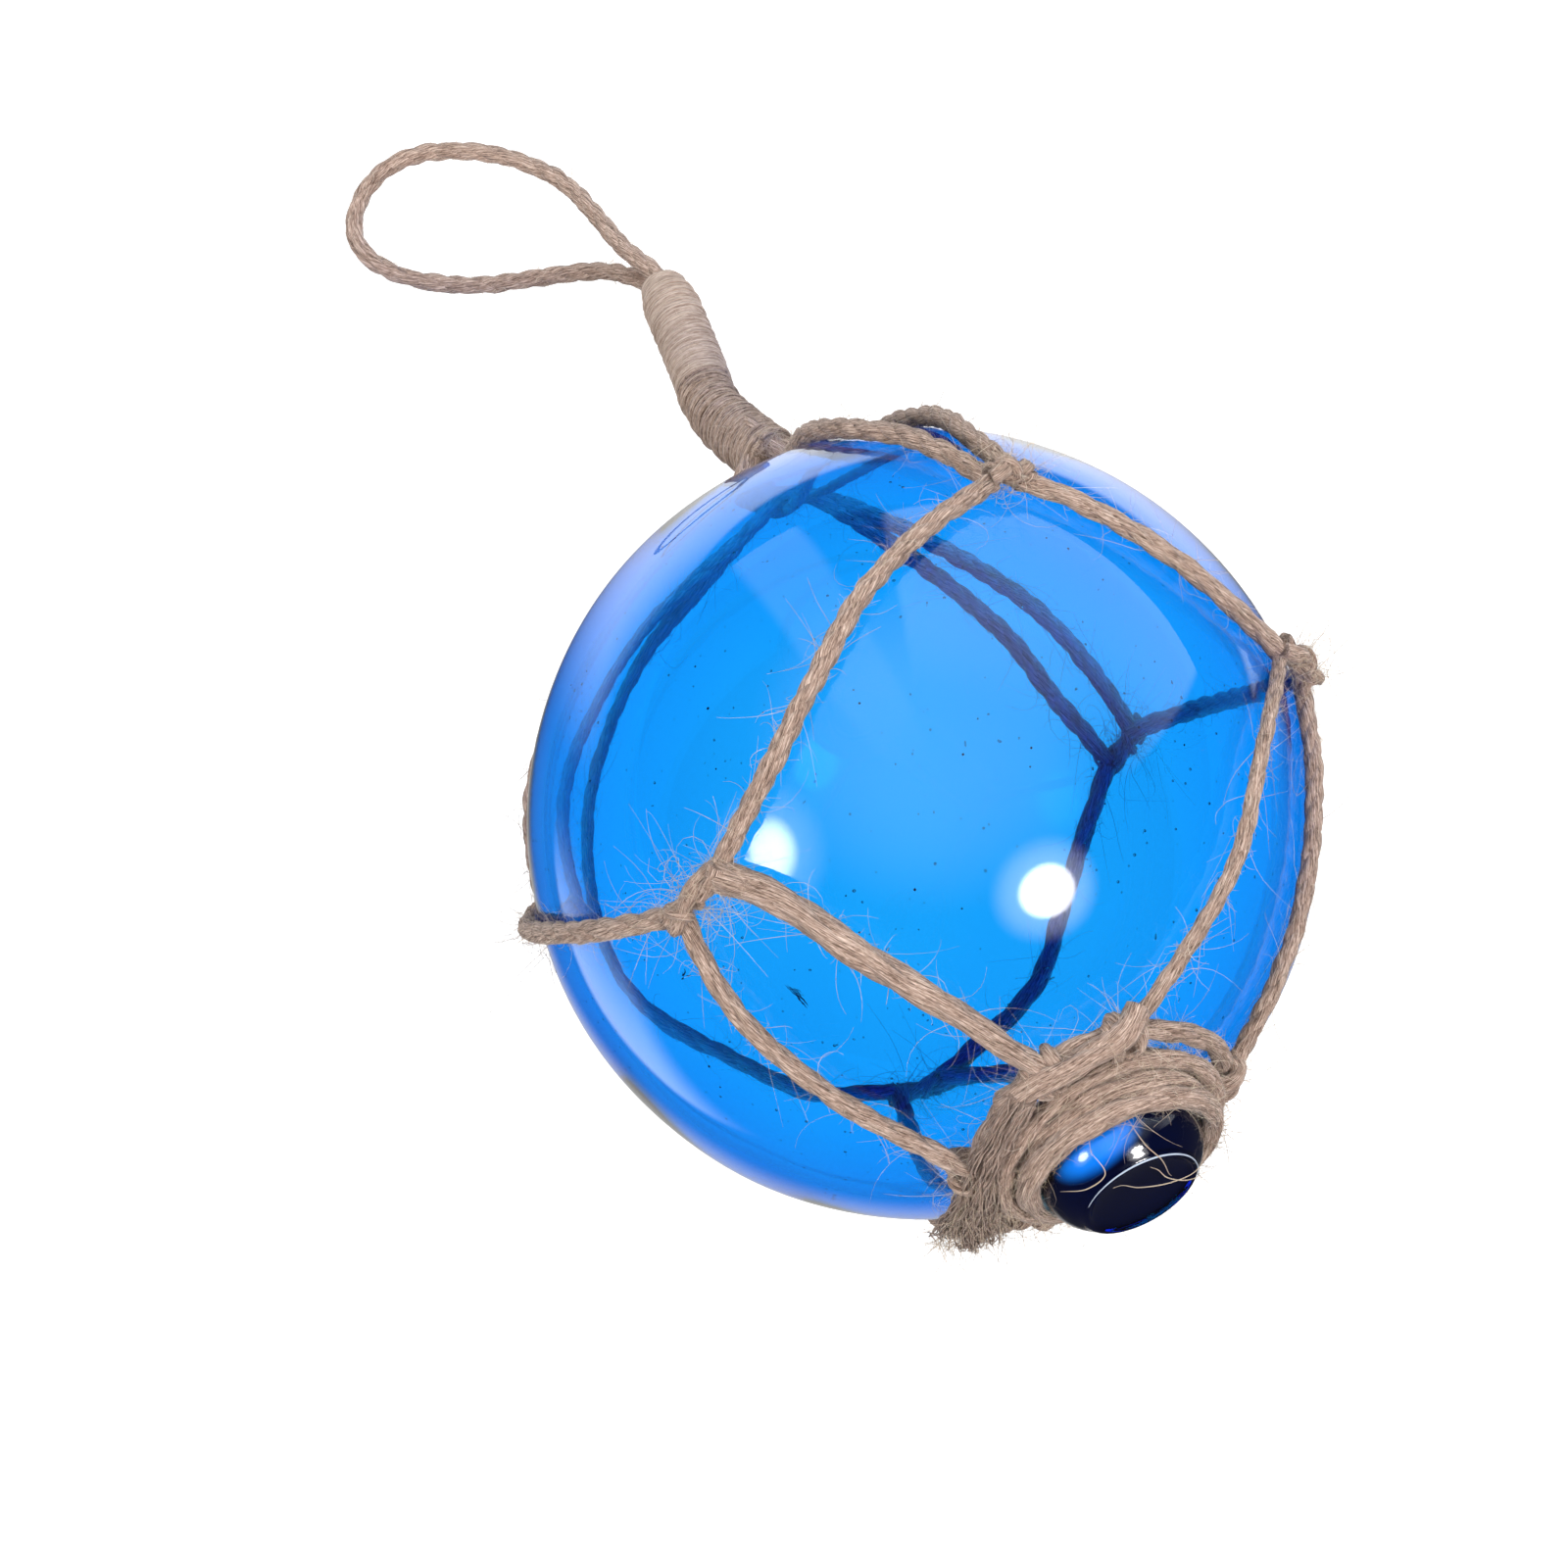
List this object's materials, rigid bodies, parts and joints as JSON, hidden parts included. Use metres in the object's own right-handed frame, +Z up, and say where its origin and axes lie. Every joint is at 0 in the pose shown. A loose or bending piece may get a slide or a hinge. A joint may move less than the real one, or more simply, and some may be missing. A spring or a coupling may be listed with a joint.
{
  "type": "glass float ball",
  "caption": "Blown glass float with a seal button, held in a knotted jute net with a bound neck and a hanging loop, lying on its side.",
  "frame": {"origin": "centre of the small flat spot under the ball that it rests on", "axes": "+Z up; the seal button points towards -Y and a little up, the bound neck and the loop lie towards +Y, +X is to the right seen from the button's side"},
  "size_m": [0.0841, 0.1559, 0.0806],
  "materials": {
    "glass": "clear azure-blue blown glass, glossy, with small bubbles",
    "jute_cord": "twisted natural jute cord, hairy and matt",
    "jute_twine": "fine jute twine, tightly wound, matt"
  },
  "bodies": {
    "root": {"glass_float": "glass", "cord_net": "jute_cord", "button_ring": "jute_cord", "neck_whipping": "jute_twine", "hanging_loop": "jute_cord"}
  },
  "joints": []
}
